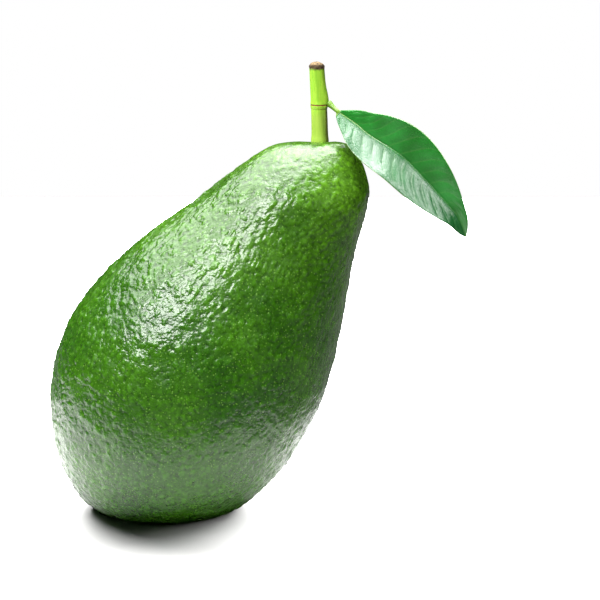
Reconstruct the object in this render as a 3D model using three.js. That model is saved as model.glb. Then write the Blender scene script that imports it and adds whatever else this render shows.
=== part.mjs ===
// A whole avocado standing on a small flat spot, with its cut green stem and one leaf.
// Lengths in mm. X runs to the right, Y away from the viewer, Z up.
// The origin is the middle of the resting spot, on the floor.

import * as THREE from 'three';
import { ImprovedNoise } from 'three/addons/math/ImprovedNoise.js';
import { mergeVertices } from 'three/addons/utils/BufferGeometryUtils.js';

// Outline of the fruit from the front. Each row is a left point and the right point across from it,
// from the foot (below the floor, where the flat spot cuts it) up to the crown.
const FOOT = [-15.5, -1.8];
const OUTLINE = [
  [[-23.7, 4.8], [-4.5, -4.2]],
  [[-28.5, 16.5], [7.5, -3.6]],
  [[-30, 30], [20.2, 1.1]],
  [[-28.5, 43], [31.4, 10.6]],
  [[-23.5, 54.5], [39, 22]],
  [[-15, 65], [44.5, 35.5]],
  [[-4, 75], [48.5, 54]],
  [[8.5, 84], [51.5, 70.5]],
  [[20.5, 93], [55, 86.5]],
  [[30, 99], [50.5, 98.5]],
];
const CROWN = [42, 100];

// Thickness front to back, as a share of the width. The crown narrows more than the outline does,
// so that it is round from front to back.
const DEPTH_AT_FOOT = 1.03;
const DEPTH_AT_NECK = 0.91;
const CROWN_NARROWING = 0.38;

const FRUIT_CELLS = 30;
const SPOT_EDGE = 0.5; // height over which the skin rounds into the flat spot

// Skin relief: broad lumps, and pebbles that grow taller toward the neck
const LUMP_WIDTH = 34;
const LUMP_HEIGHT = 0.5;
const PEBBLE_WIDTH = 5.5;
const PEBBLE_HEIGHT_AT_FOOT = 0.22;
const PEBBLE_HEIGHT_AT_CROWN = 0.5;

// The shallow dimple behind the top of the crown, where the stem stands
const DIMPLE = [42, 3.8, 100];
const DIMPLE_DEPTH = 0.6;
const DIMPLE_RADIUS = 4.5;
const DIMPLE_SLOPE = -0.18; // the skin there falls toward the back

// Stem: a cut twig with a node ring, a cushion under the leaf stalk and a corky end
const STEM_HEIGHT = 19.6;
const STEM_LEAN = -0.8; // sideways travel of the middle line from foot to top
const STEM_BOW = 0.2;
const STEM_GAP = 0.35;
const STEM_SIDES = 24;
const STEM_ROWS = 34;
const STEM_FOOT_RADIUS = 2.2;
const STEM_FOOT_FLARE = 0.15;
const STEM_TOP_RADIUS = 1.98;
const STEM_RIB_HEIGHT = 0.07;
const NODE_HEIGHT = 9.4;
const NODE_SWELL = 0.16;
const CUSHION_HEIGHT = 10.8;
const CUSHION_REACH = 0.6;
const CUT_DOME = 1.4;

// Leaf: the stalk and then the midrib, from the root at the stem to the tip
const LEAF_LINE = [
  [44.9, 3, 109.3],
  [46.9, 1.5, 107.7],
  [51.5, -1, 104.8],
  [55.1, -3, 102.1],
  [63.1, -6.5, 97.4],
  [69.6, -8.3, 91.1],
  [75.6, -9, 84.5],
  [78.4, -8.8, 80.8],
  [80.2, -8, 76.1],
];
const STALK_SHARE = 0.05; // share of that line that is stalk
const LEAF_ROWS = 92;
// Places of the columns from the midrib (0) to the edge (1), closer together at the midrib
const LEAF_COLUMNS = [0, 0.07, 0.24, 0.44, 0.64, 0.84, 1];
const LEAF_HALF_WIDTH = 9;
const LEAF_THICKNESS = 0.62;
const LEAF_FOLD = 0.5; // radians that each half rises from the midrib
const LEAF_FACING = [0, -1, 0.21]; // the way the upper face looks
// Powers that shape the stalk end and the tip end of each half: low ones are blunt, high ones slender
const UPPER_HALF = [1.05, 1.25];
const LOWER_HALF = [0.78, 0.95];
const TIP_ROUNDING = 3.2;
const STALK_RADIUS = 0.54;
const RIB_RADIUS_AT_TIP = 0.34;
const VEIN_PAIRS = 11;
const VEIN_HEIGHT = 0.16;
const VEIN_SLANT = 0.13;

const noise = new ImprovedNoise();

function mix(a, b, share) {
  return a + (b - a) * share;
}

function smooth(low, high, value) {
  return THREE.MathUtils.smoothstep(value, low, high);
}

function bell(distance, width) {
  return Math.exp(-((distance / width) ** 2));
}

function meshFrom(points, index) {
  const geometry = new THREE.BufferGeometry();
  const numbers = points.flatMap((point) => point.toArray());
  geometry.setAttribute('position', new THREE.Float32BufferAttribute(numbers, 3));
  geometry.setIndex(index);
  return geometry;
}

// Fruit

const crown = new THREE.Vector3(CROWN[0], 0, CROWN[1]);
const dimple = new THREE.Vector3(...DIMPLE);
const foot = new THREE.Vector3(FOOT[0], 0, FOOT[1]);
const bodyLength = crown.distanceTo(foot);
const bodyAxis = crown.clone().sub(foot).normalize();

const leftSide = OUTLINE.map((pair) => pair[0]);
const rightSide = OUTLINE.map((pair) => pair[1]);
const outlineCurve = new THREE.CatmullRomCurve3(
  [FOOT, ...leftSide, CROWN, ...rightSide.reverse()].map(([x, z]) => new THREE.Vector3(x, 0, z)),
  true,
  'catmullrom',
);

// The point of the smooth body at a share of the way from foot to crown and an angle round the axis
function bodyPoint(share, angle) {
  const left = outlineCurve.getPoint(share / 2);
  const right = outlineCurve.getPoint(1 - share / 2);
  const middle = left.clone().add(right).multiplyScalar(0.5);
  const reach = right.clone().sub(left).multiplyScalar(0.5);
  const narrowing = CROWN_NARROWING * smooth(0.78, 0.95, share);
  const depth = reach.length() * (mix(DEPTH_AT_FOOT, DEPTH_AT_NECK, share) - narrowing);
  middle.addScaledVector(reach, Math.cos(angle));
  middle.y = depth * Math.sin(angle);
  return middle;
}

// How far the skin stands out from the smooth body
function relief(point) {
  const share = point.clone().sub(foot).dot(bodyAxis) / bodyLength;
  const height = mix(PEBBLE_HEIGHT_AT_FOOT, PEBBLE_HEIGHT_AT_CROWN, smooth(0.3, 0.9, share));
  const lump = point.clone().divideScalar(LUMP_WIDTH);
  const pebble = point.clone().divideScalar(PEBBLE_WIDTH);
  return LUMP_HEIGHT * noise.noise(...lump) + height * noise.noise(...pebble);
}

// Everything below the floor comes up to it, with a rounded edge round the flat spot.
function restHeight(z) {
  if (z <= -SPOT_EDGE) return 0;
  if (z >= SPOT_EDGE) return z;
  return (z + SPOT_EDGE) ** 2 / (4 * SPOT_EDGE);
}

// A cube's grid blown up to a ball, so that the cells are alike all over the fruit
function ballGeometry(cells) {
  const cube = new THREE.BoxGeometry(2, 2, 2, cells, cells, cells);
  cube.deleteAttribute('normal');
  cube.deleteAttribute('uv');
  const ball = mergeVertices(cube);
  const position = ball.attributes.position;
  for (let i = 0; i < position.count; i += 1) {
    const direction = new THREE.Vector3().fromBufferAttribute(position, i);
    const warped = direction.toArray().map((c) => Math.tan((c * Math.PI) / 4));
    position.setXYZ(i, ...direction.fromArray(warped).normalize());
  }
  return ball;
}

function fruitGeometry() {
  const skin = ballGeometry(FRUIT_CELLS);
  const position = skin.attributes.position;
  for (let i = 0; i < position.count; i += 1) {
    const direction = new THREE.Vector3().fromBufferAttribute(position, i);
    const share = 1 - Math.acos(THREE.MathUtils.clamp(direction.z, -1, 1)) / Math.PI;
    position.setXYZ(i, ...bodyPoint(share, Math.atan2(direction.y, direction.x)));
  }
  skin.computeVertexNormals();
  for (let i = 0; i < position.count; i += 1) {
    const point = new THREE.Vector3().fromBufferAttribute(position, i);
    const normal = new THREE.Vector3().fromBufferAttribute(skin.attributes.normal, i);
    const near = bell(point.distanceTo(dimple), DIMPLE_RADIUS);
    point.addScaledVector(normal, relief(point) * (1 - near) - DIMPLE_DEPTH * near);
    position.setXYZ(i, point.x, point.y, restHeight(point.z));
  }
  return skin;
}

// Stem

function stemRadius(height, angle) {
  const taper = mix(STEM_FOOT_RADIUS, STEM_TOP_RADIUS, height / STEM_HEIGHT);
  const flare = STEM_FOOT_FLARE * bell(height, 1.2);
  const ring = NODE_SWELL * bell(height - NODE_HEIGHT, 0.8);
  const ribs = STEM_RIB_HEIGHT * Math.cos(5 * angle + 0.25 * height);
  const rise = height - CUSHION_HEIGHT;
  const facing = Math.max(0, Math.cos(angle)) ** 2;
  const cushion = CUSHION_REACH * facing * bell(rise, rise > 0 ? 3.2 : 1.3);
  return taper + flare + ring + ribs + cushion;
}

function stemMiddle(height) {
  const share = height / STEM_HEIGHT;
  const sway = STEM_LEAN * share + STEM_BOW * Math.sin(Math.PI * share);
  return new THREE.Vector3(sway, 0, height + STEM_GAP - DIMPLE_DEPTH).add(dimple);
}

function stemRing(height, shrink) {
  const ring = [];
  for (let side = 0; side < STEM_SIDES; side += 1) {
    const angle = (side / STEM_SIDES) * Math.PI * 2;
    const around = new THREE.Vector3(Math.cos(angle), Math.sin(angle), 0);
    const point = stemMiddle(height).addScaledVector(around, stemRadius(height, angle) * shrink);
    point.z += DIMPLE_SLOPE * (point.y - dimple.y) * bell(height, 3);
    ring.push(point);
  }
  return ring;
}

// A closed skin over rings of points, bottom ring first, with a middle point at each end
function ringSkin(rings, bottom, top) {
  const sides = rings[0].length;
  const points = [...rings.flat(), bottom, top];
  const bottomAt = points.length - 2;
  const topAt = points.length - 1;
  const lastRing = bottomAt - sides;
  const index = [];
  for (let side = 0; side < sides; side += 1) {
    const next = (side + 1) % sides;
    for (let at = 0; at < lastRing; at += sides) {
      index.push(at + side, at + next, at + sides + next);
      index.push(at + side, at + sides + next, at + sides + side);
    }
    index.push(bottomAt, next, side);
    index.push(topAt, lastRing + side, lastRing + next);
  }
  return meshFrom(points, index);
}

function stemGeometry() {
  const rings = [];
  for (let row = 0; row <= STEM_ROWS; row += 1) {
    rings.push(stemRing((STEM_HEIGHT * row) / STEM_ROWS, 1));
  }
  rings.push(stemRing(STEM_HEIGHT + CUT_DOME * 0.5, 0.86));
  rings.push(stemRing(STEM_HEIGHT + CUT_DOME * 0.85, 0.5));
  return ringSkin(rings, stemMiddle(0), stemMiddle(STEM_HEIGHT + CUT_DOME));
}

// Leaf

const leafCurve = new THREE.CatmullRomCurve3(LEAF_LINE.map((point) => new THREE.Vector3(...point)));
const leafFacing = new THREE.Vector3(...LEAF_FACING);
const leafPlaces = [...LEAF_COLUMNS.slice(1).reverse().map((place) => -place), ...LEAF_COLUMNS];

// Each half opens past the stalk, is widest before its middle and runs out to a rounded tip.
function bladeHalfWidth(share, [opening, point]) {
  const along = THREE.MathUtils.clamp((share - STALK_SHARE) / (1 - STALK_SHARE), 0, 1);
  const widest = opening / (opening + point);
  const shape = (place) => place ** opening * (1 - place) ** point;
  const rounding = TIP_ROUNDING * Math.sqrt(1 - along) * smooth(0.85, 1, along);
  return (LEAF_HALF_WIDTH * shape(along)) / shape(widest) + rounding;
}

// Side veins run outward and forward from the midrib, and the blade dips and rises between them.
function veinRipple(share, place) {
  const out = Math.abs(place);
  const turns = (share - STALK_SHARE - VEIN_SLANT * out) * VEIN_PAIRS;
  return VEIN_HEIGHT * Math.sin(Math.PI * out) * Math.cos(turns * 2 * Math.PI);
}

// The upper and lower points of one row, from the left edge to the right edge
function leafRow(share) {
  const middle = leafCurve.getPointAt(share);
  const forward = leafCurve.getTangentAt(share);
  const side = new THREE.Vector3().crossVectors(forward, leafFacing).normalize();
  const up = new THREE.Vector3().crossVectors(side, forward);
  const rib = mix(STALK_RADIUS, RIB_RADIUS_AT_TIP, share);
  const halves = [UPPER_HALF, LOWER_HALF].map((powers) => Math.max(bladeHalfWidth(share, powers), rib));
  const open = smooth(rib, 3 * rib, (halves[0] + halves[1]) / 2);
  const fold = LEAF_FOLD * open;
  const upper = [];
  const lower = [];
  for (const place of leafPlaces) {
    const halfWidth = halves[place < 0 ? 0 : 1];
    const out = Math.abs(place) * halfWidth;
    const height = out * Math.sin(fold) + veinRipple(share, place) * open;
    const round = rib * Math.sqrt(Math.max(0, 1 - (out / rib) ** 2));
    const below = Math.max(LEAF_THICKNESS / 2, round);
    const above = mix(below, LEAF_THICKNESS / 2, open);
    const spot = middle.clone().addScaledVector(side, place * halfWidth * Math.cos(fold));
    upper.push(spot.clone().addScaledVector(up, height + above));
    lower.push(spot.clone().addScaledVector(up, height - below));
  }
  return [...upper, ...lower];
}

// A closed skin over rows that hold their upper points first and then their lower points.
// Both faces are split along the same diagonals.
function sheetSkin(rows) {
  const wide = rows[0].length / 2;
  const index = [];
  const quad = (a, b, c, d) => index.push(a, b, c, a, c, d);
  const back = (a, b, c, d) => index.push(a, c, b, a, d, c);
  for (let row = 0; row < rows.length - 1; row += 1) {
    const upper = row * 2 * wide;
    const lower = upper + wide;
    for (let column = 0; column < wide - 1; column += 1) {
      const corners = [column, column + 1, column + 1 + 2 * wide, column + 2 * wide];
      quad(...corners.map((corner) => upper + corner));
      back(...corners.map((corner) => lower + corner));
    }
    quad(upper, upper + 2 * wide, lower + 2 * wide, lower);
    back(lower - 1, lower - 1 + 2 * wide, lower - 1 + 3 * wide, lower - 1 + wide);
  }
  const last = (rows.length - 1) * 2 * wide;
  for (let column = 0; column < wide - 1; column += 1) {
    back(column, column + 1, column + 1 + wide, column + wide);
    quad(last + column, last + column + 1, last + column + 1 + wide, last + column + wide);
  }
  return meshFrom(rows.flat(), index);
}

function leafGeometry() {
  const rows = [];
  for (let row = 0; row <= LEAF_ROWS; row += 1) {
    rows.push(leafRow(row / LEAF_ROWS));
  }
  return sheetSkin(rows);
}

function namedMesh(name, geometry, color, roughness) {
  const material = new THREE.MeshStandardMaterial({ color, roughness, metalness: 0 });
  const mesh = new THREE.Mesh(geometry, material);
  mesh.name = name;
  return mesh;
}

const group = new THREE.Group();
group.name = 'avocado';
group.add(namedMesh('fruit', fruitGeometry(), 0x44741e, 0.35));
group.add(namedMesh('stem', stemGeometry(), 0xa3cf4b, 0.5));
group.add(namedMesh('leaf', leafGeometry(), 0x3f8442, 0.4));

export default group;
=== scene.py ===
# %% [markdown]
# # A whole avocado with its stem and leaf
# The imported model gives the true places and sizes: a body 118 mm long that stands on a small flat spot,
# a cut green stem in its crown, and one leaf. Here each of the three gets the fine shape and the finish
# of the real thing. Everything is in metres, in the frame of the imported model: X right, Y away, Z up.

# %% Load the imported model
import math

import bmesh
import bpy
import numpy as np
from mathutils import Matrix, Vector, noise


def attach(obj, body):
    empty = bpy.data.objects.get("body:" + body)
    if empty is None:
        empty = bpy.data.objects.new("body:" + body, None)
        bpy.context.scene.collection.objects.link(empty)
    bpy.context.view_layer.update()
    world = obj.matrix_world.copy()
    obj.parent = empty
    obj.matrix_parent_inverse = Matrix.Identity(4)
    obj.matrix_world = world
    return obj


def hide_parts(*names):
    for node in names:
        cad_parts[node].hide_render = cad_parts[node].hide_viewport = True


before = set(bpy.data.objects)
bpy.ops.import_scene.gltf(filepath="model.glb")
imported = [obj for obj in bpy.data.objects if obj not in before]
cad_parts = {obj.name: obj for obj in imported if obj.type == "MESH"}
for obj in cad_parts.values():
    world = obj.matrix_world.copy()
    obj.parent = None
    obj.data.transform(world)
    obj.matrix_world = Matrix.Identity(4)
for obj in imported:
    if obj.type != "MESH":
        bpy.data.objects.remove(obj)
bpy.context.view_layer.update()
MM = 0.001

# %% [markdown]
# ## Small tools
# A few sums come back again and again: a smooth step from 0 to 1, a bell that fades from 1 at its middle,
# and a straight mix of two values. They take single numbers or whole arrays of points.

# %% Sums for shaping
def smooth(low, high, value):
    share = np.clip((value - low) / (high - low), 0, 1)
    return share * share * (3 - 2 * share)


def bell(distance, width):
    return np.exp(-((distance / width) ** 2))


def mix(low, high, share):
    return low + (high - low) * share


# %% [markdown]
# ## The fruit's outline
# Seen from the front the fruit is a leaning pear. A turned shape would be too regular, because the left
# flank is long and the right one nearly straight. So the outline is drawn as pairs of points, left and
# right, from foot to crown, and a closed curve runs through them. Each pair is joined by an oval ring.
# These are the same named points as in the part's own source, in millimetres.

# %% Outline of the fruit
FOOT = (-15.5, -1.8)
LEFT_SIDE = [(-23.7, 4.8), (-28.5, 16.5), (-30, 30), (-28.5, 43), (-23.5, 54.5),
             (-15, 65), (-4, 75), (8.5, 84), (20.5, 93), (30, 99)]
RIGHT_SIDE = [(-4.5, -4.2), (7.5, -3.6), (20.2, 1.1), (31.4, 10.6), (39, 22),
              (44.5, 35.5), (48.5, 54), (51.5, 70.5), (55, 86.5), (50.5, 98.5)]
CROWN = (42, 100)
OUTLINE = np.array([FOOT, *LEFT_SIDE, CROWN, *reversed(RIGHT_SIDE)], dtype=float)


def outline_point(place):
    """Points of the closed outline. Whole numbers in place are its drawn points, counted from the foot."""
    first = np.floor(place).astype(int)
    t = (place - first)[:, None]
    before, start, end, after = (OUTLINE[(first + step) % len(OUTLINE)] for step in (-1, 0, 1, 2))
    bend = 2 * before - 5 * start + 4 * end - after
    twist = 3 * start - before - 3 * end + after
    return 0.5 * (2 * start + (end - before) * t + bend * t ** 2 + twist * t ** 3)


# %% [markdown]
# From front to back the fruit is about as thick as it is wide, a little less at the neck, and the crown
# narrows so that it is round. A ring is the middle of its pair, plus a cosine across and a sine in depth.

# %% Body of the fruit
DEPTH_AT_FOOT = 1.03
DEPTH_AT_NECK = 0.91
CROWN_NARROWING = 0.38


def body_points(directions):
    """Smooth body, in mm, for directions from the middle of a ball."""
    share = 1 - np.arccos(np.clip(directions[:, 2], -1, 1)) / math.pi
    angle = np.arctan2(directions[:, 1], directions[:, 0])
    half = len(OUTLINE) / 2
    left = outline_point(share * half)
    right = outline_point((2 - share) * half % len(OUTLINE))
    middle = (left + right) / 2
    reach = (right - left) / 2
    ratio = mix(DEPTH_AT_FOOT, DEPTH_AT_NECK, share) - CROWN_NARROWING * smooth(0.78, 0.95, share)
    across = middle + reach * np.cos(angle)[:, None]
    depth = np.linalg.norm(reach, axis=1) * ratio * np.sin(angle)
    return np.column_stack([across[:, 0], depth, across[:, 1]])


# %% [markdown]
# ## A ball of even cells
# A globe of meridians would crowd its cells at the stem. A cube that is cut into a fine grid and blown up
# to a ball keeps them alike all over. The tangent below evens out the middle and the corners of each side.

# %% Cube blown up to a ball
SKIN_CUTS = 127


def even_ball(name, cuts):
    mesh = bpy.data.meshes.new(name)
    cube = bmesh.new()
    bmesh.ops.create_cube(cube, size=2)
    bmesh.ops.subdivide_edges(cube, edges=cube.edges[:], cuts=cuts, use_grid_fill=True)
    cube.to_mesh(mesh)
    cube.free()
    corners = np.tan(read_points(mesh) * math.pi / 4)
    write_points(mesh, corners / np.linalg.norm(corners, axis=1)[:, None])
    return mesh


def read_points(mesh):
    flat = np.empty(len(mesh.vertices) * 3)
    mesh.vertices.foreach_get("co", flat)
    return flat.reshape(-1, 3)


def write_points(mesh, points):
    mesh.vertices.foreach_set("co", np.ascontiguousarray(points, dtype=float).ravel())
    mesh.update()


def read_normals(mesh):
    flat = np.empty(len(mesh.vertices) * 3)
    mesh.vertex_normals.foreach_get("vector", flat)
    return flat.reshape(-1, 3)


def store_values(mesh, name, values):
    """Keeps one number at each point of the mesh, for its material to read."""
    layer = mesh.attributes.new(name, "FLOAT", "POINT")
    layer.data.foreach_set("value", np.ascontiguousarray(values, dtype=float))


# %% [markdown]
# ## Relief of the skin
# The waxy skin is leathery: pebbles two millimetres across with creases between them, over shallow
# wrinkles and broad lumps. In the long highlights this relief is what shows, so it is real geometry.
# Voronoi noise gives a pebble for each of its cells: the nearest cell's distance and the second nearest's
# are equal in the creases. The seed fixes how the cells wobble, so that every run grows the same skin. The
# pebbles stand highest on the shoulder and both flanks, and are lower on the crown, on the right of the
# neck and in the lower middle.

# %% Lumps, wrinkles and pebbles
LUMP_WIDTH = 34
LUMP_HEIGHT = 0.5
WRINKLE_WIDTH = 5.0
WRINKLE_HEIGHT = 0.24
PEBBLE_WIDTH = 1.95
PEBBLE_HEIGHT_AT_FOOT = 0.12
PEBBLE_HEIGHT_ON_SHOULDER = 0.3
PEBBLE_HEIGHT_ON_CROWN = 0.09
PEBBLE_ROUNDING = 0.7
PEBBLE_SEED = 7
PEBBLE_WOBBLE = 1.1
PEBBLE_WOBBLE_WIDTH = 2.2
CREASE_SHARE = 0.6  # how much of a pebble's height is pressed in rather than raised
RIGHT_OF_NECK = 0.4
WRINKLES_ON_CROWN = 0.2


def pebble_rise(point):
    """0 in a crease and 1 on top of a pebble."""
    wobble = noise.noise_vector(point / PEBBLE_WOBBLE_WIDTH) * PEBBLE_WOBBLE
    nearest, second = noise.voronoi((point + wobble) / PEBBLE_WIDTH)[0][:2]
    share = min(1.0, (second - nearest) / PEBBLE_ROUNDING)
    return share * share * (3 - 2 * share)


def pebble_height(share, flank):
    rough = np.maximum(smooth(0.3, 0.65, share), flank)
    rising = mix(PEBBLE_HEIGHT_AT_FOOT, PEBBLE_HEIGHT_ON_SHOULDER, rough)
    return mix(rising, PEBBLE_HEIGHT_ON_CROWN, smooth(0.77, 0.9, share))


def skin_relief(points, normals, share):
    """How far the skin stands out from the smooth body, in mm, and how high a point is on its pebble."""
    noise.seed_set(PEBBLE_SEED)
    places = [Vector(point) for point in points]
    lumps = np.array([noise.noise(place / LUMP_WIDTH) for place in places])
    wrinkles = np.array([noise.fractal(place / WRINKLE_WIDTH, 1.0, 2.0, 2) for place in places])
    pebbles = np.array([pebble_rise(place) for place in places])
    height = pebble_height(share, smooth(0.2, 0.6, np.abs(normals[:, 0])))
    height *= mix(1, RIGHT_OF_NECK, smooth(0.3, 0.9, normals[:, 0]) * smooth(0.4, 0.6, share))
    fold = WRINKLE_HEIGHT * mix(1, WRINKLES_ON_CROWN, smooth(0.75, 0.9, share))
    return LUMP_HEIGHT * lumps + fold * wrinkles + height * (pebbles - CREASE_SHARE), pebbles


# %% [markdown]
# ## The fruit
# The relief pushes each point along its normal. It dies out in the shallow dimple behind the top of the
# crown, where the stem stands. Last, whatever hangs below the floor comes up to it, with a rounded edge,
# which leaves the flat resting spot.

# %% Build the fruit
DIMPLE = np.array([42, 3.8, 100])
DIMPLE_DEPTH = 0.6
DIMPLE_RADIUS = 4.5
SPOT_EDGE = 0.5


def rest_height(z):
    rounded = (z + SPOT_EDGE) ** 2 / (4 * SPOT_EDGE)
    return np.where(z <= -SPOT_EDGE, 0, np.where(z >= SPOT_EDGE, z, rounded))


def grow_fruit():
    mesh = even_ball("fruit_skin", SKIN_CUTS)
    directions = read_points(mesh)
    share = 1 - np.arccos(np.clip(directions[:, 2], -1, 1)) / math.pi
    write_points(mesh, body_points(directions))
    points, normals = read_points(mesh), read_normals(mesh)
    relief, pebbles = skin_relief(points, normals, share)
    near = bell(np.linalg.norm(points - DIMPLE, axis=1), DIMPLE_RADIUS)
    points += normals * (relief * (1 - near) - DIMPLE_DEPTH * near)[:, None]
    points[:, 2] = rest_height(points[:, 2])
    write_points(mesh, points * MM)
    store_values(mesh, "pebble", pebbles)
    store_values(mesh, "toward_crown", share)
    return finish_piece(mesh, "fruit_skin", "fruit")


def finish_piece(mesh, name, node):
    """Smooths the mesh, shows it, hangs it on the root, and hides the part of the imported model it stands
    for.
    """
    mesh.shade_smooth()
    piece = bpy.data.objects.new(name, mesh)
    bpy.context.scene.collection.objects.link(piece)
    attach(piece, "root")
    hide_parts(node)
    return piece


def size_in_mm(piece):
    return [round(side * 1000, 1) for side in piece.dimensions]


fruit = grow_fruit()
print("fruit:", len(fruit.data.polygons), "faces,", size_in_mm(fruit), "mm")

# %% [markdown]
# ## The stem
# The stem is a cut twig, 4 mm thick. A round tube would miss what makes it a twig: faint ribs, a node
# ring, the small cushion under the leaf stalk, and the dry, crumbled end where it was cut. So it is
# wrapped from rings whose radius depends on height and angle. It starts a little inside the dimple.

# %% Shape of the stem
STEM_HEIGHT = 19.6
STEM_LEAN = -0.8
STEM_BOW = 0.2
STEM_GAP = 0.35
STEM_FOOT_RADIUS = 2.2
STEM_FOOT_FLARE = 0.15
STEM_FLARE_HEIGHT = 1.2
STEM_TOP_RADIUS = 1.98
STEM_RIB_HEIGHT = 0.07
NODE_HEIGHT = 9.4
NODE_SWELL = 0.16
NODE_SWELL_WIDTH = 0.8
RING_ABOVE_NODE = 0.15
RING_DEPTH = 0.12
RING_WIDTH = 0.16
GROOVE_BELOW_NODE = 1.1
GROOVE_DEPTH = 0.05
GROOVE_WIDTH = 0.14
CUSHION_HEIGHT = 10.8
CUSHION_REACH = 0.6
CUSHION_ABOVE = 3.2
CUSHION_BELOW = 1.3
CUT_DOME = 1.26
# turn of the brown strip down the stem, partly a scar and partly painted shade of the side away from the
# light
SCAR_AND_SHADE_TURN = -0.35
STEM_SUNK = 1.0
CORK_HEIGHT = 18.3


def stem_radius(height, angle):
    taper = mix(STEM_FOOT_RADIUS, STEM_TOP_RADIUS, height / STEM_HEIGHT)
    flare = STEM_FOOT_FLARE * bell(height, STEM_FLARE_HEIGHT)
    ring = NODE_SWELL * bell(height - NODE_HEIGHT, NODE_SWELL_WIDTH)
    ring -= RING_DEPTH * bell(height - NODE_HEIGHT - RING_ABOVE_NODE, RING_WIDTH)
    groove = GROOVE_DEPTH * bell(height - NODE_HEIGHT + GROOVE_BELOW_NODE, GROOVE_WIDTH)
    ribs = STEM_RIB_HEIGHT * np.cos(5 * angle + 0.25 * height)
    rise = height - CUSHION_HEIGHT
    facing = np.maximum(0, np.cos(angle)) ** 2
    cushion = CUSHION_REACH * facing * bell(rise, np.where(rise > 0, CUSHION_ABOVE, CUSHION_BELOW))
    return taper + flare + ring - groove + ribs + cushion


def stem_middle(height):
    share = height / STEM_HEIGHT
    sway = STEM_LEAN * share + STEM_BOW * np.sin(math.pi * share)
    floor = DIMPLE[2] - DIMPLE_DEPTH + STEM_GAP
    return np.stack([DIMPLE[0] + sway, DIMPLE[1] + 0 * height, floor + height], axis=-1)


# %% [markdown]
# The cut end is dry cork: its rim and face are crumbled by noise, and the face is slightly domed.

# %% Build the stem
STEM_SIDES = 72
STEM_ROWS = 150
STEM_END_ROWS = 14
LAST_RING = 0.97  # of the quarter turn over the cut end, so that its last ring leaves a small face
BARK_GRAIN = (0.35, 0.35, 1.4)
BARK_GRAIN_HEIGHT = 0.02
CRUMB_WIDTH = 0.7
CRUMB_HEIGHT = 0.16


def crumble(points, height):
    """Fine bark over the whole stem, and coarse crumbs on the cork."""
    cork = smooth(CORK_HEIGHT, STEM_HEIGHT, height)
    fine = np.array([noise.noise(Vector(point)) for point in points / BARK_GRAIN])
    coarse = np.array([noise.fractal(Vector(point), 0.8, 2.0, 3) for point in points / CRUMB_WIDTH])
    return BARK_GRAIN_HEIGHT * fine + CRUMB_HEIGHT * cork * coarse


def tube_faces(rows, sides):
    faces = []
    for row in range(rows - 1):
        for side in range(sides):
            right = (side + 1) % sides
            start = row * sides
            faces.append((start + side, start + right, start + sides + right, start + sides + side))
    return faces


def stem_faces(rows):
    """The wall, the foot and the last small face in the middle of the cut end."""
    last = (rows - 1) * STEM_SIDES
    foot = tuple(reversed(range(STEM_SIDES)))
    top = tuple(last + side for side in range(STEM_SIDES))
    return [*tube_faces(rows, STEM_SIDES), foot, top]


def stem_grid():
    """Height, angle and share of the full radius, for every point. The rings close in over the cut end."""
    inward = np.linspace(0, 1, STEM_END_ROWS + 1)[1:] * math.pi / 2
    wall = np.linspace(-STEM_SUNK, STEM_HEIGHT, STEM_ROWS)
    heights = np.append(wall, STEM_HEIGHT + CUT_DOME * np.sin(inward))
    shares = np.append(np.ones(STEM_ROWS), np.cos(inward * LAST_RING))
    angles = np.linspace(0, 2 * math.pi, STEM_SIDES, endpoint=False)
    return np.repeat(heights, STEM_SIDES), np.tile(angles, len(heights)), np.repeat(shares, STEM_SIDES)


def grow_stem():
    height, angle, share = stem_grid()
    radius = stem_radius(np.clip(height, 0, STEM_HEIGHT), angle) * share
    around = np.stack([np.cos(angle), np.sin(angle), 0 * angle], axis=-1)
    points = stem_middle(height) + around * radius[:, None]
    outward = around * share[:, None]
    outward[:, 2] = 1 - share
    points += outward * crumble(points, height)[:, None]
    mesh = bpy.data.meshes.new("stem_twig")
    mesh.from_pydata((points * MM).tolist(), [], stem_faces(len(height) // STEM_SIDES))
    store_values(mesh, "height", height)
    store_values(mesh, "inward", 1 - share)
    store_values(mesh, "off_scar_and_shade", np.abs((angle - SCAR_AND_SHADE_TURN + math.pi) % (2 * math.pi) - math.pi))
    return finish_piece(mesh, "stem_twig", "stem")


stem = grow_stem()
print("stem:", len(stem.data.polygons), "faces,", size_in_mm(stem), "mm")

# %% [markdown]
# ## The leaf
# Stalk, midrib and blade grew as one piece, so they are one skin: rows of points run along a curve, round
# at the stalk and spread out to the blade. The two halves rise from the midrib like an open book. Side
# veins run out and forward; the blade sinks in a fine furrow along each and bulges between them.

# %% Line and outline of the leaf
LEAF_LINE = [(44.3, 3.45, 109.75), (46.9, 1.5, 107.7), (51.5, -1, 104.8), (55.1, -3, 102.1),
             (63.1, -6.5, 97.4), (69.6, -8.3, 91.1), (75.6, -9, 84.5), (78.4, -8.8, 80.8), (80.2, -8, 76.1)]
LEAF_FACING = np.array([0, -1, 0.21])
STALK_SHARE = 0.062
LEAF_HALF_WIDTH = 9
UPPER_HALF = (1.05, 1.25)
LOWER_HALF = (0.78, 0.95)
TIP_ROUNDING = 3.2
LEAF_FOLD = 0.5
STALK_RADIUS = 0.6
STALK_FLARE = 0.3
STALK_FLARE_SHARE = 0.025
RIB_RADIUS_AT_TIP = 0.2


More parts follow.
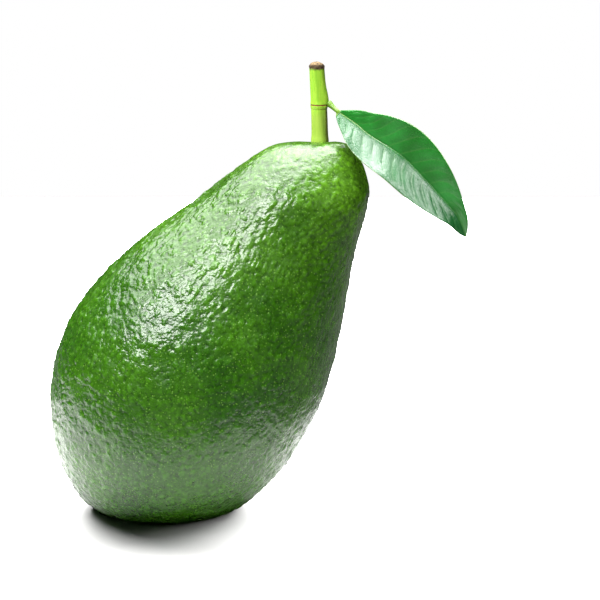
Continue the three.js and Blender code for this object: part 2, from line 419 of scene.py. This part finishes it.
def curve_through(points, count):
    """Evenly spaced points, and their directions, on a smooth curve through the given points."""
    corners = np.array(points, dtype=float)
    ends = np.vstack([2 * corners[0] - corners[1], corners, 2 * corners[-1] - corners[-2]])
    place = np.linspace(0, len(corners) - 1.0001, 2000)
    first = place.astype(int)
    t = (place - first)[:, None]
    before, start, end, after = (ends[first + step] for step in range(4))
    bend = 2 * before - 5 * start + 4 * end - after
    twist = 3 * start - before - 3 * end + after
    dense = 0.5 * (2 * start + (end - before) * t + bend * t ** 2 + twist * t ** 3)
    steps = np.linalg.norm(np.diff(dense, axis=0), axis=1)
    travel = np.concatenate([[0], np.cumsum(steps)])
    even = np.linspace(0, travel[-1], count)
    line = np.stack([np.interp(even, travel, dense[:, axis]) for axis in range(3)], axis=-1)
    forward = np.gradient(line, axis=0)
    return line, forward / np.linalg.norm(forward, axis=1)[:, None]


def blade_half_width(share, powers):
    """Width of one half. Low powers give it a blunt stalk end and tip, high ones a slender one."""
    opening, point = powers
    along = np.clip((share - STALK_SHARE) / (1 - STALK_SHARE), 0, 1)
    widest = opening / (opening + point)
    peak = widest ** opening * (1 - widest) ** point
    rounding = TIP_ROUNDING * np.sqrt(1 - along) * smooth(0.85, 1, along)
    return LEAF_HALF_WIDTH * along ** opening * (1 - along) ** point / peak + rounding


# %% Veins of the leaf
VEIN_PAIRS = 15
VEIN_SLANT = 0.13
VEIN_WANDER = 0.12
LOWER_VEINS_AHEAD = 0.4
SWELL_HEIGHT = 0.2
FURROW_DEPTH = 0.05
CALM_HALF = 0.45  # the upper half is flatter than the lower one
MARGIN_WAVE = 0.2


def vein_turns(share, place):
    """Counts the side veins from the stalk on: a whole number lies on a vein."""
    out = np.abs(place)
    wander = VEIN_WANDER * np.sin(5 * out + 7 * share + np.where(place > 0, 2.0, 0.0))
    ahead = np.where(place > 0, LOWER_VEINS_AHEAD, 0.0)
    return (share - STALK_SHARE - VEIN_SLANT * out ** 1.3) * VEIN_PAIRS + wander + ahead


def off_vein(share, place):
    """0 on a side vein and 1 halfway between two."""
    turns = vein_turns(share, place)
    return 2 * np.abs(turns - np.round(turns))


def blade_relief(share, place):
    out = np.abs(place)
    from_vein = off_vein(share, place)
    strength = np.where(place > 0, 1.0, CALM_HALF)
    swell = SWELL_HEIGHT * np.sin(math.pi * np.clip(out, 0, 1)) * (np.sin(from_vein * math.pi / 2) - 0.5)
    furrow = FURROW_DEPTH * bell(from_vein, 0.16) * (1 - smooth(0.7, 1, out))
    margin = MARGIN_WAVE * smooth(0.6, 1, out) * np.sin(17 * share + np.where(place > 0, 0, 2.1))
    return strength * (swell - furrow) + margin


# %% Build the leaf
LEAF_ROWS = 240
LEAF_THICKNESS = 0.34
EDGE_THICKNESS_SHARE = 0.55
RIB_GROOVE_DEPTH = 0.1
RIB_GROOVE_WIDTH = 0.35
COLUMNS_A_SIDE = 26


def leaf_grid():
    """Share along and place across of every point. The columns stand closer together at the midrib."""
    steps = np.linspace(-1, 1, 2 * COLUMNS_A_SIDE + 1)
    places = np.sign(steps) * np.abs(steps) ** 1.3
    return np.meshgrid(np.linspace(0, 1, LEAF_ROWS), places, indexing="ij")


def leaf_faces(wide):
    """Faces of the closed sheet. The points are all rows of the upper side, then all of the lower side."""
    lower = LEAF_ROWS * wide
    faces = []
    for row in range(LEAF_ROWS - 1):
        start = row * wide
        for column in range(wide - 1):
            a = start + column
            faces.append((a, a + 1, a + wide + 1, a + wide))
            faces.append((lower + a, lower + a + wide, lower + a + wide + 1, lower + a + 1))
        left, right = start, start + wide - 1
        faces.append((left, left + wide, lower + left + wide, lower + left))
        faces.append((right, lower + right, lower + right + wide, right + wide))
    last = (LEAF_ROWS - 1) * wide
    for column in range(wide - 1):
        faces.append((column, lower + column, lower + column + 1, column + 1))
        end = last + column
        faces.append((end, end + 1, lower + end + 1, lower + end))
    return faces


def leaf_widths(share, place):
    """Radius of the rib, distance of each point from it, and how far the blade is open, from 0 to 1."""
    rib = mix(STALK_RADIUS, RIB_RADIUS_AT_TIP, share) + STALK_FLARE * bell(share, STALK_FLARE_SHARE)
    upper_half = np.maximum(blade_half_width(share, UPPER_HALF), rib)
    lower_half = np.maximum(blade_half_width(share, LOWER_HALF), rib)
    out = np.abs(place) * np.where(place < 0, upper_half, lower_half)
    return rib, out, smooth(rib, 3 * rib, (upper_half + lower_half) / 2)


def leaf_surfaces(share, place, rib, out, blade):
    """Height of the upper and of the lower surface over the leaf's line."""
    height = out * np.sin(LEAF_FOLD * blade) + blade_relief(share, place) * blade * smooth(0.6, 2.2, out)
    roundness = rib * np.sqrt(np.clip(1 - (out / rib) ** 2, 0, 1))
    half_thick = LEAF_THICKNESS / 2 * mix(1, EDGE_THICKNESS_SHARE, smooth(0.9, 1, np.abs(place)) * blade)
    below = np.maximum(half_thick, roundness)
    above = mix(below, half_thick - RIB_GROOVE_DEPTH * bell(out, RIB_GROOVE_WIDTH), blade)
    return height + above, height - below


def grow_leaf():
    share, place = leaf_grid()
    line, forward = curve_through(LEAF_LINE, LEAF_ROWS)
    side = np.cross(forward, LEAF_FACING)
    side /= np.linalg.norm(side, axis=1)[:, None]
    up = np.cross(side, forward)
    rib, out, blade = leaf_widths(share, place)
    across = np.sign(place) * out * np.cos(LEAF_FOLD * blade)
    middle = line[:, None, :] + side[:, None, :] * across[..., None]
    surfaces = leaf_surfaces(share, place, rib, out, blade)
    sheets = [middle + up[:, None, :] * height[..., None] for height in surfaces]
    points = np.concatenate(sheets).reshape(-1, 3)
    mesh = bpy.data.meshes.new("leaf_blade")
    mesh.from_pydata((points * MM).tolist(), [], leaf_faces(share.shape[1]))
    values = {"along": share, "across": place, "out": out, "blade": blade}
    values["off_vein"] = off_vein(share, place)
    for name, sheet in values.items():
        store_values(mesh, name, np.tile(sheet.ravel(), 2))
    store_values(mesh, "upper_side", np.repeat([1.0, 0.0], share.size))
    return finish_piece(mesh, "leaf_blade", "leaf")


leaf = grow_leaf()
print("leaf:", len(leaf.data.polygons), "faces,", size_in_mm(leaf), "mm")

# %% [markdown]
# ## Tools for finishes
# A finish is a small tree of nodes round one shader. These helpers keep each line of it short: a socket is
# given a number, a colour, or the output of an earlier node. Colours are written as they look on a screen
# and turned into the linear values that the renderer works with.

# %% Helpers for materials
def seen(red, green, blue):
    """A colour as seen on a screen, 0 to 255, as the linear colour with alpha that a shader wants."""
    parts = [value / 255 for value in (red, green, blue)]
    linear = [part / 12.92 if part <= 0.04045 else ((part + 0.055) / 1.055) ** 2.4 for part in parts]
    return (*linear, 1.0)


def new_finish(name):
    material = bpy.data.materials.new(name)
    material.use_nodes = True
    return material


def plug(material, socket, value):
    if isinstance(value, bpy.types.NodeSocket):
        material.node_tree.links.new(value, socket)
    else:
        socket.default_value = value


def add(material, kind, sockets=None, **settings):
    """Adds one node; sockets are its inputs by name, settings are its options."""
    node = material.node_tree.nodes.new("ShaderNode" + kind)
    for name, value in settings.items():
        setattr(node, name, value)
    for name, value in (sockets or {}).items():
        plug(material, node.inputs[name], value)
    return node


def figure(material, operation, first, second=0.0):
    """One sum on two values."""
    node = add(material, "Math", operation=operation)
    plug(material, node.inputs[0], first)
    plug(material, node.inputs[1], second)
    return node.outputs[0]


def remap(material, value, low, high, to_low=0.0, to_high=1.0):
    """A smooth step of a value, from one range to another."""
    sockets = {"Value": value, "From Min": low, "From Max": high, "To Min": to_low, "To Max": to_high}
    return add(material, "MapRange", sockets, interpolation_type="SMOOTHSTEP").outputs["Result"]


def tint(material, share, first, second):
    """Mixes two colours by a share."""
    node = add(material, "Mix", data_type="RGBA")
    for place, value in ((0, share), (6, first), (7, second)):
        plug(material, node.inputs[place], value)
    return node.outputs[2]


def kept(material, name):
    """A number that was stored at the points of the mesh."""
    return add(material, "Attribute", attribute_name=name).outputs["Fac"]


def place_on(material):
    """The place on the object, in metres."""
    return add(material, "TexCoord").outputs["Object"]


def grain(material, width, detail=2.0, stretch=(1, 1, 1)):
    """Noise of a given width in metres, from 0 to 1, drawn out along an axis by stretch."""
    scaling = [1 / (width * share) for share in stretch]
    mapped = add(material, "Mapping", {"Vector": place_on(material), "Scale": scaling}).outputs["Vector"]
    return add(material, "TexNoise", {"Vector": mapped, "Scale": 1.0, "Detail": detail}).outputs["Fac"]


def raise_skin(material, height, distance, below=None):
    """Bump in metres: a height of 1 stands out by distance."""
    sockets = {"Height": height, "Distance": distance, "Strength": 1.0}
    if below is not None:
        sockets["Normal"] = below
    return add(material, "Bump", sockets).outputs["Normal"]


def dress(piece, material):
    piece.data.materials.clear()
    piece.data.materials.append(material)


# %% [markdown]
# ## Finish of the skin
# The skin is a deep green that turns yellow-green toward the neck, partly its own tone and partly painted
# light where the neck is lit from above. It has thousands of tiny pale specks, its breathing pores. A
# picture would be the quick way, but it would stretch over a body like this. Noise in space wraps it
# evenly: broad noise moves the green, and a Voronoi pattern puts one speck in each cell.
# Pits a millimetre wide, too fine for the mesh, are pressed in as bump. Painted shade darkens them and the
# creases between the pebbles. The wax makes the skin glossy, a little more here and less there.

# %% Skin of the fruit
DEEP_GREEN = seen(28, 69, 5)
FRESH_GREEN = seen(50, 95, 10)
NECK_GREEN_AND_TOP_LIGHT = seen(78, 122, 20)
PAINTED_CREASE_SHADE = seen(14, 36, 6)
SPECK_GREEN = seen(100, 140, 54)
BROAD_PATCHES = 0.022
FINE_PATCHES = 0.0022
PIT_WIDTH = 0.0011
PIT_HEIGHT = 0.00026
PITS_ON_CROWN = 0.22
LEATHER_WIDTH = 0.0005
LEATHER_HEIGHT = 0.00003
SPECK_SPACING = 0.00074
SPECK_SIZE = 0.38
SPECK_STRENGTH = 0.5
GLOSS_PATCHES = 0.004
SKIN_ROUGHNESS = (0.22, 0.32)


def specks(material, spacing, size):
    """1 inside a round speck, 0 outside. Each cell has one, and its size changes from cell to cell."""
    cells = add(material, "TexVoronoi", {"Vector": place_on(material), "Scale": 1 / spacing}, feature="F1")
    random = add(material, "SeparateColor", {"Color": cells.outputs["Color"]}).outputs[0]
    reach = remap(material, random, 0.0, 1.0, size * 0.4, size)
    return remap(material, figure(material, "DIVIDE", cells.outputs["Distance"], reach), 1.0, 0.4)


def skin_colour(skin, crown, pits):
    broad = grain(skin, BROAD_PATCHES, 3.0)
    fine = grain(skin, FINE_PATCHES, 3.0)
    green = tint(skin, remap(skin, broad, 0.3, 0.7), DEEP_GREEN, FRESH_GREEN)
    green = tint(skin, remap(skin, fine, 0.4, 0.75, 0.0, 0.5), green, FRESH_GREEN)
    # partly the skin's own tone, partly painted light: lighter yellow-green toward the top-lit crown
    yellowing_and_top_light = remap(skin, broad, 0.2, 0.75, 0.25, 0.8)
    yellowing_and_top_light = figure(skin, "MULTIPLY", yellowing_and_top_light, remap(skin, crown, 0.5, 0.95))
    green = tint(skin, yellowing_and_top_light, green, NECK_GREEN_AND_TOP_LIGHT)
    # painted shade: darker green in the creases between the pebbles and in the pits
    green = tint(skin, remap(skin, kept(skin, "pebble"), 0.0, 0.7, 0.4, 0.0), green, PAINTED_CREASE_SHADE)
    green = tint(skin, remap(skin, pits, 0.5, 0.3, 0.0, 0.5), green, PAINTED_CREASE_SHADE)
    spots = figure(skin, "MULTIPLY", specks(skin, SPECK_SPACING, SPECK_SIZE), SPECK_STRENGTH)
    return tint(skin, spots, green, SPECK_GREEN)


def skin_finish():
    skin = new_finish("avocado_skin")
    shader = skin.node_tree.nodes["Principled BSDF"]
    crown = kept(skin, "toward_crown")
    pits = grain(skin, PIT_WIDTH, 1.0)
    plug(skin, shader.inputs["Base Color"], skin_colour(skin, crown, pits))
    gloss = grain(skin, GLOSS_PATCHES, 4.0)
    plug(skin, shader.inputs["Roughness"], remap(skin, gloss, 0.3, 0.75, *SKIN_ROUGHNESS))
    shader.inputs["IOR"].default_value = 1.48
    leathery = raise_skin(skin, grain(skin, LEATHER_WIDTH, 3.0), LEATHER_HEIGHT)
    pitted = figure(skin, "MULTIPLY", pits, remap(skin, crown, 0.75, 0.92, 1.0, PITS_ON_CROWN))
    plug(skin, shader.inputs["Normal"], raise_skin(skin, pitted, PIT_HEIGHT, leathery))
    return skin


dress(fruit, skin_finish())
print("skin:", len(fruit.data.materials[0].node_tree.nodes), "nodes")

# %% [markdown]
# ## Finish of the stem
# Young bark is smooth and bright yellow-green with faint streaks along it. Brown corky lines mark the node.
# Below it a brown strip runs down the leaf's side of the stem, partly a scar and partly painted shade of
# the side turned from the light. The cut end is dry and brown, darker at its rim. The height along the
# stem, stored with the mesh, says where each of these lies, and noise breaks their edges.

# %% Bark and cork of the stem
BARK_LIGHT = seen(158, 200, 58)
BARK_DARK = seen(132, 186, 46)
BARK_PALE = seen(146, 168, 70)
CORK_RIM = seen(70, 54, 30)
CORK_FACE = seen(146, 122, 84)
NODE_BROWN = seen(120, 78, 40)
SCAR_AND_SHADE_BROWN = seen(84, 72, 28)
CORK_DARK = seen(60, 44, 24)
STREAK_WIDTH = 0.0004
RAGGED_WIDTH = 0.0012
CORK_PATCHES = 0.0006
CORK_GRAIN_WIDTH = 0.0003
BROWN_LINE_BELOW_NODE = 0.95
RING_FADE = (0.24, 0.1)  # how far from its middle a mark starts to show, and where it is full
LINE_FADE = (0.16, 0.05)
SCAR_AND_SHADE_FADE = (0.5, 0.2)
STEM_ROUGHNESS = (0.42, 0.85)
CORK_BUMP = 0.00008


def blur(material, ragged, reach, value):
    """A value whose edges are made ragged by up to reach."""
    return figure(material, "ADD", value, figure(material, "MULTIPLY", ragged, reach))


def off_height(material, height, line):
    return figure(material, "ABSOLUTE", figure(material, "SUBTRACT", height, line))


def bark_colour(bark, height):
    """Streaky green, paler below the node."""
    streaks = grain(bark, STREAK_WIDTH, 3.0, stretch=(1, 1, 14))
    colour = tint(bark, remap(bark, streaks, 0.3, 0.7), BARK_DARK, BARK_LIGHT)
    return tint(bark, remap(bark, height, NODE_HEIGHT, NODE_HEIGHT - 4, 0.0, 0.6), colour, BARK_PALE)


def marked(bark, colour, height, ragged):
    """The brown ring of the node, a shorter line below it, and a brown strip below the node on the leaf's
    side, partly a scar and partly painted shade.
    """
    off_ring = off_height(bark, height, NODE_HEIGHT + RING_ABOVE_NODE)
    ring = remap(bark, blur(bark, ragged, 0.08, off_ring), *RING_FADE)
    colour = tint(bark, ring, colour, NODE_BROWN)
    off_line = off_height(bark, height, NODE_HEIGHT - BROWN_LINE_BELOW_NODE)
    line = remap(bark, blur(bark, ragged, 0.06, off_line), *LINE_FADE)
    line = figure(bark, "MULTIPLY", line, remap(bark, kept(bark, "off_scar_and_shade"), 2.2, 0.8))
    colour = tint(bark, figure(bark, "MULTIPLY", line, 0.7), colour, NODE_BROWN)
    # partly a scar, partly painted shade: a brown strip down the stem's right side, below the node
    scar_and_shade = remap(bark, blur(bark, ragged, 0.12, kept(bark, "off_scar_and_shade")), *SCAR_AND_SHADE_FADE)
    scar_and_shade = figure(bark, "MULTIPLY", scar_and_shade, remap(bark, height, NODE_HEIGHT, NODE_HEIGHT - 0.6))
    return tint(bark, figure(bark, "MULTIPLY", scar_and_shade, 0.75), colour, SCAR_AND_SHADE_BROWN)


def cork_colour(bark, ragged):
    """Dark at the rim, light and mottled inside it."""
    inward = blur(bark, ragged, 0.1, kept(bark, "inward"))
    dry = tint(bark, remap(bark, inward, 0.02, 0.25), CORK_RIM, CORK_FACE)
    return tint(bark, remap(bark, grain(bark, CORK_PATCHES, 4.0), 0.42, 0.62, 0.0, 0.85), dry, CORK_DARK)


def stem_finish():
    bark = new_finish("stem_bark")
    shader = bark.node_tree.nodes["Principled BSDF"]
    height = kept(bark, "height")
    ragged = figure(bark, "MULTIPLY", figure(bark, "SUBTRACT", grain(bark, RAGGED_WIDTH, 3.0), 0.5), 3.0)
    cork = remap(bark, blur(bark, ragged, 0.45, height), CORK_HEIGHT + 0.3, CORK_HEIGHT + 1.0)
    green = marked(bark, bark_colour(bark, height), height, ragged)
    plug(bark, shader.inputs["Base Color"], tint(bark, cork, green, cork_colour(bark, ragged)))
    plug(bark, shader.inputs["Roughness"], remap(bark, cork, 0.0, 1.0, *STEM_ROUGHNESS))
    coarse = remap(bark, cork, 0.0, 1.0, 0.25, 1.0)
    rough = figure(bark, "MULTIPLY", grain(bark, CORK_GRAIN_WIDTH, 4.0), coarse)
    plug(bark, shader.inputs["Normal"], raise_skin(bark, rough, CORK_BUMP))
    return bark


dress(stem, stem_finish())
print("bark:", len(stem.data.materials[0].node_tree.nodes), "nodes")

# %% [markdown]
# ## Finish of the leaf
# The upper side is a glossy dark green with a pale midrib and faint veins, the lower side is paler and
# dull, and the stalk is yellow-green. The half of the blade below the midrib is a deeper green: painted
# shade, against the diffuse light of its own softbox. The gloss is weaker near the stalk. The place along
# and across, the distance from the midrib and the distance from the nearest side vein are stored with the
# mesh, so the markings follow the blade however it bends.

# %% Blade, veins and stalk
LEAF_DARK = seen(10, 92, 10)
LEAF_FRESH = seen(36, 128, 44)
LEAF_LOWER_HALF_SHADE = seen(16, 78, 40)
LEAF_BELOW = seen(120, 160, 92)
VEIN_PALE = seen(176, 208, 132)
STALK_GREEN = seen(96, 134, 38)
LEAF_PATCHES = 0.009
LEAF_ROUGHNESS = (0.6, 0.3)  # of the lower side and of the upper side
VEIN_NET_WIDTH = 0.0009
VEIN_NET_HEIGHT = 0.00002


def blade_colour(blade, upper):
    across = kept(blade, "across")
    colour = tint(blade, remap(blade, grain(blade, LEAF_PATCHES, 5.0), 0.3, 0.75), LEAF_DARK, LEAF_FRESH)
    # painted shade: the half below the midrib is a deeper green, against the diffuse light of its softbox
    colour = tint(blade, remap(blade, across, -0.1, 0.1, 0.0, 0.7), colour, LEAF_LOWER_HALF_SHADE)
    colour = tint(blade, remap(blade, kept(blade, "off_vein"), 0.2, 0.0, 0.0, 0.06), colour, VEIN_PALE)
    colour = tint(blade, remap(blade, upper, 0.2, 0.8, 1.0, 0.0), colour, LEAF_BELOW)
    rib = remap(blade, kept(blade, "out"), 0.26, 0.1)
    rib = figure(blade, "MULTIPLY", rib, remap(blade, kept(blade, "along"), 0.1, 0.5, 0.35, 0.05))
    colour = tint(blade, rib, colour, VEIN_PALE)
    rim = remap(blade, figure(blade, "ABSOLUTE", across), 0.975, 1.0, 0.0, 0.6)
    colour = tint(blade, rim, colour, VEIN_PALE)
    return tint(blade, remap(blade, kept(blade, "blade"), 0.7, 0.15), colour, STALK_GREEN)


def leaf_finish():
    blade = new_finish("leaf_green")
    shader = blade.node_tree.nodes["Principled BSDF"]
    upper = kept(blade, "upper_side")
    plug(blade, shader.inputs["Base Color"], blade_colour(blade, upper))
    plug(blade, shader.inputs["Roughness"], remap(blade, upper, 0.2, 0.8, *LEAF_ROUGHNESS))
    gloss = remap(blade, kept(blade, "along"), 0.08, 0.3, 0.3, 1.0)
    plug(blade, shader.inputs["Specular IOR Level"], gloss)
    shader.inputs["IOR"].default_value = 1.55
    cells = {"Vector": place_on(blade), "Scale": 1 / VEIN_NET_WIDTH}
    net = add(blade, "TexVoronoi", cells, feature="DISTANCE_TO_EDGE").outputs["Distance"]
    plug(blade, shader.inputs["Normal"], raise_skin(blade, remap(blade, net, 0.0, 0.14), VEIN_NET_HEIGHT))
    return blade


dress(leaf, leaf_finish())
print("leaf:", len(leaf.data.materials[0].node_tree.nodes), "nodes")

# %% [markdown]
# ## Table
# The picture has a seamless white ground. The camera sees a plain table, and where it ends a white sky, so
# that no edge shows. This table is grey under a very strong lamp of its own, which makes it white: the
# green light from the fruit then hardly colours the shadow. The gloss on the skin tells of another table,
# one that darkens all round, soonest in front: a pool of light painted into its colour. Both lie on the
# same
# spot: the first is seen by the camera only, the second is mirrored in the fruit and throws light up at it.

# %% Seen table and mirrored table
TABLE_WHITE = seen(240, 240, 238)
TABLE_GREY = seen(120, 120, 119)
TABLE_DARK = seen(70, 70, 70)
TABLE_CORNERS = (-0.6, -0.3), (0.4, 0.5)
JUST_BELOW = 0.0002
# where the painted pool of light on the mirrored table fades from white to dark, along each axis
LIGHT_POOL_EDGES = (("Y", -0.028, -0.085), ("Y", 0.04, 0.12), ("X", 0.045, 0.085), ("X", -0.04, -0.36))


def table_top(name, height, material):
    (left, front), (right, back) = TABLE_CORNERS
    mesh = bpy.data.meshes.new(name)
    corners = [(left, front), (right, front), (right, back), (left, back)]
    mesh.from_pydata([(x, y, height) for x, y in corners], [], [(0, 1, 2, 3)])
    mesh.materials.append(material)
    top = bpy.data.objects.new(name, mesh)
    bpy.context.scene.collection.objects.link(top)
    return top


def dull_finish(name, colour_for):
    """A dull finish, with the colour that colour_for gives for it."""
    dull = new_finish(name)
    shader = dull.node_tree.nodes["Principled BSDF"]
    shader.inputs["Roughness"].default_value = 0.9
    shader.inputs["Specular IOR Level"].default_value = 0.1
    plug(dull, shader.inputs["Base Color"], colour_for(dull))
    return dull


def painted_light_pool(material):
    """A painted pool of light: white round the foot of the fruit and dark farther out, soonest in front."""
    place = add(material, "SeparateXYZ", {"Vector": place_on(material)})
    colour = TABLE_WHITE
    for axis, white_until, dark_from in LIGHT_POOL_EDGES:
        share = remap(material, place.outputs[axis], white_until, dark_from)
        colour = tint(material, share, colour, TABLE_DARK)
    return colour


table = table_top("table", 0, dull_finish("grey_table", lambda material: TABLE_GREY))
table.visible_glossy = False
table.visible_diffuse = False
table.visible_shadow = False
mirrored = table_top("mirrored_table", -JUST_BELOW, dull_finish("painted_light_pool_table", painted_light_pool))
mirrored.visible_camera = False
print("tables:", table.name, mirrored.name, [round(side, 2) for side in table.dimensions], "m")

# %% [markdown]
# ## Light
# Softboxes hang at one height over the table and look down, and each lights only the pieces named with it.
# A wide one with a hot middle lights the fruit from above and behind. One in front at the left draws the
# long highlight on the shoulder, and the leaf has one more for the sheen of its lower half. Each of the two
# tables has its own. The dull glows leave no highlight: two lift the shaded front, and one lightens the
# right end of the shadow.

# %% Sky and softboxes
BOX_HEIGHT = 0.9
FRUIT_MIDDLE = Vector((0.01, 0, 0.05))


def white_sky():
    """White behind everything, but no light from it and no reflection of it."""
    world = bpy.data.worlds.new("studio_sky")
    world.use_nodes = True
    background = world.node_tree.nodes["Background"]
    background.inputs["Color"].default_value = (1, 1, 1, 1)
    background.inputs["Strength"].default_value = 1.0
    world.cycles_visibility.glossy = False
    world.cycles_visibility.diffuse = False
    bpy.context.scene.world = world


def softbox(name, middle, size, brightness):
    """A lamp that looks straight down. Its brightness is what the camera would see of it."""
    lamp = bpy.data.lights.new(name, "AREA")
    lamp.shape = "RECTANGLE"
    lamp.size, lamp.size_y = size
    lamp.energy = brightness * math.pi * size[0] * size[1]
    box = bpy.data.objects.new(name, lamp)
    box.location = middle
    box.visible_camera = False
    bpy.context.scene.collection.objects.link(box)
    return box


def glow(name, middle, size, brightness):
    """A dull lamp that looks at the fruit and leaves no highlight."""
    lamp = softbox(name, middle, size, brightness)
    lamp.rotation_euler = (FRUIT_MIDDLE - Vector(middle)).to_track_quat("-Z", "Y").to_euler()
    lamp.visible_glossy = False
    return lamp


def light_only(box, pieces):
    """Keeps a lamp off all but the given pieces."""
    lit = bpy.data.collections.new(box.name + "_lights")
    for piece in pieces:
        lit.objects.link(piece)
    box.light_linking.receiver_collection = lit


# Each lamp has its name, its middle, its size, its brightness and the pieces that it lights.
SOFTBOXES = [
    ("wide_softbox", (-0.27, 0.35, BOX_HEIGHT), (1.45, 1.1), 7.8, [fruit, stem, leaf]),
    ("hot_middle", (0.15, 0.2, BOX_HEIGHT - 0.02), (0.7, 0.5), 9.5, [fruit, leaf]),
    ("shoulder_softbox", (-0.55, -0.66, BOX_HEIGHT), (0.9, 0.48), 27.0, [fruit, stem, leaf]),
    ("leaf_softbox", (1.0, -0.6, BOX_HEIGHT), (0.9, 0.7), 7.0, [leaf]),
    ("table_softbox", (0.42, 0.89, BOX_HEIGHT), (2.58, 1.39), 102.0, [table]),
    ("mirror_softbox", (-0.1, 0.3, BOX_HEIGHT), (1.6, 1.6), 10.5, [mirrored]),
]
GLOWS = [
    ("front_glow", (0.0, -0.6, 0.25), (0.3, 0.3), 4.0, [fruit, stem, leaf]),
    ("side_glow", (0.35, -0.3, 0.25), (0.2, 0.2), 12.0, [fruit]),
    ("foot_glow", (0.35, 0.09, 0.09), (0.12, 0.12), 60.0, [table]),
]

white_sky()
for make_lamp, lamps in ((softbox, SOFTBOXES), (glow, GLOWS)):
    for *lamp, pieces in lamps:
        light_only(make_lamp(*lamp), pieces)

# %% [markdown]
# ## Camera
# The photo was taken with a long lens from about 12 degrees above the table. In it 600 pixels span 160 mm
# at the fruit, so with a 150 mm lens on a 36 mm sensor the camera stands 667 mm away. It looks at the point
# that lies at the middle of the picture.

# %% Camera
LENS = 150
SENSOR = 36
VIEW_WIDTH = 0.16
CAMERA_HEIGHT_ANGLE = math.radians(12)
AIM = Vector((0.0368, 0, 0.0574))


def set_camera():
    data = bpy.data.cameras.new("camera")
    data.lens = LENS
    data.sensor_width = SENSOR
    data.clip_end = 20
    camera = bpy.data.objects.new("camera", data)
    toward = Vector((0, -math.cos(CAMERA_HEIGHT_ANGLE), math.sin(CAMERA_HEIGHT_ANGLE)))
    camera.location = AIM + toward * VIEW_WIDTH * LENS / SENSOR
    camera.rotation_euler = (math.pi / 2 - CAMERA_HEIGHT_ANGLE, 0, 0)
    bpy.context.scene.collection.objects.link(camera)
    bpy.context.scene.camera = camera
    return camera


camera = set_camera()
bpy.context.scene.view_settings.view_transform = "Standard"
print("camera at", [round(value, 3) for value in camera.location])
